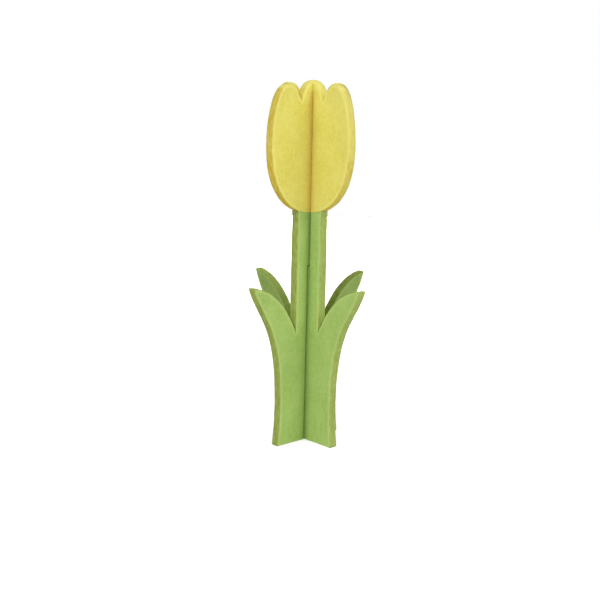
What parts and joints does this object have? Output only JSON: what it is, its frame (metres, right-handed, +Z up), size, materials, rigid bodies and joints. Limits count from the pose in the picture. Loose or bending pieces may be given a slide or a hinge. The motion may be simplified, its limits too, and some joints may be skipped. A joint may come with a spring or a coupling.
{
  "type": "felt tulip",
  "caption": "Table ornament: a tulip of two slotted felt panels crossed at right angles, with green foot, leaves and stem and a yellow bloom.",
  "frame": {"origin": "on the table plane, on the vertical line where the two panels cross", "axes": "+Z up; X along the standing panel, Y along the crossing panel"},
  "size_m": [0.0866, 0.0866, 0.211],
  "materials": {
    "green_felt": "matt pressed felt, die-cut edges",
    "yellow_felt": "matt pressed felt, die-cut edges",
    "craft_glue": "thin dried film in the fibres"
  },
  "bodies": {
    "standing_panel": {"standing_stem_panel": "green_felt", "standing_bloom_right": "yellow_felt", "standing_bloom_left": "yellow_felt", "standing_glue_right": "craft_glue", "standing_glue_left": "craft_glue"},
    "crossing_panel": {"crossing_stem_panel": "green_felt", "crossing_bloom": "yellow_felt", "crossing_glue": "craft_glue"}
  },
  "joints": [
    {"name": "panel_slide", "type": "slide", "parent": "standing_panel", "child": "crossing_panel", "axis": [0, 0, 1], "range_m": [0, 0.11]}
  ]
}
